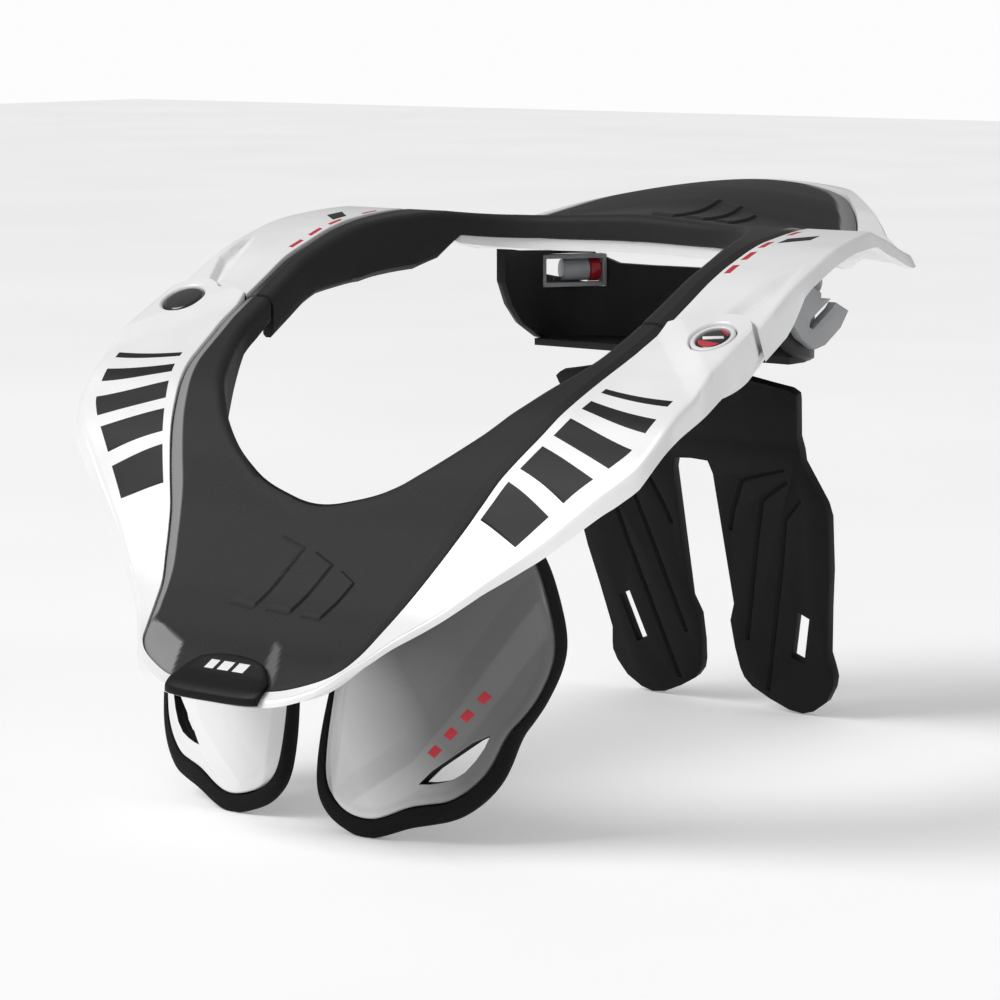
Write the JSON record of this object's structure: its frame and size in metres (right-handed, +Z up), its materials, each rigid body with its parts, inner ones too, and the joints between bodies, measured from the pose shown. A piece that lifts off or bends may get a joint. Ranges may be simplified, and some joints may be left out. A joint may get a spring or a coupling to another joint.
{
  "type": "motocross neck brace",
  "caption": "Rigid protective collar in two hinged halves, with padding on top, chest plates at the front and a two-winged strut at the back.",
  "frame": {"origin": "middle of the footprint, on the surface that the brace stands on", "axes": "+X to the wearer's left, +Y to the wearer's back, +Z up"},
  "size_m": [0.2788, 0.3568, 0.2174],
  "materials": {
    "front_shell": "smooth white moulding",
    "rear_shell": "smooth white moulding",
    "front_pad": "moulded padding with a fine leathery skin",
    "rear_pad": "moulded padding with a fine leathery skin",
    "front_clip": "satin black moulding",
    "hinge_pin": "satin black",
    "latch_button": "satin black",
    "latch_ring": "red ring",
    "chest_plate_left": "satin silver grey",
    "chest_plate_right": "satin silver grey",
    "chest_foam_left": "black foam",
    "chest_foam_right": "black foam",
    "chest_bracket_left": "plain black",
    "chest_bracket_right": "plain black",
    "rear_support": "satin black moulding",
    "rear_bracket_left": "light grey",
    "rear_bracket_right": "light grey",
    "adjust_pin_left": "light grey",
    "adjust_pin_right": "light grey",
    "adjust_band_left": "red band",
    "adjust_band_right": "red band",
    "back_strut": "satin black moulding with shallow grooves"
  },
  "bodies": {
    "rear_half": {"rear_shell": "rear_shell", "rear_pad": "rear_pad", "hinge_pin": "hinge_pin", "rear_support": "rear_support", "rear_bracket_left": "rear_bracket_left", "rear_bracket_right": "rear_bracket_right", "adjust_pin_left": "adjust_pin_left", "adjust_pin_right": "adjust_pin_right", "adjust_band_left": "adjust_band_left", "adjust_band_right": "adjust_band_right", "back_strut": "back_strut"},
    "front_half": {"front_shell": "front_shell", "front_pad": "front_pad", "front_clip": "front_clip", "chest_plate_left": "chest_plate_left", "chest_plate_right": "chest_plate_right", "chest_foam_left": "chest_foam_left", "chest_foam_right": "chest_foam_right", "chest_bracket_left": "chest_bracket_left", "chest_bracket_right": "chest_bracket_right", "latch_ring": "latch_ring"},
    "button": {"latch_button": "latch_button"}
  },
  "joints": [
    {"name": "front_swing", "type": "hinge", "parent": "rear_half", "child": "front_half", "pos_m": [-0.125, -0.05045, 0.16707], "axis": [0, 0.4613, -0.8872], "range_deg": [0, 50]},
    {"name": "latch_press", "type": "slide", "parent": "front_half", "child": "button", "axis": [0, 0.4613, -0.8872], "range_m": [0, 0.0015], "stiffness_N_per_m": 600, "springref_m": -0.001}
  ]
}
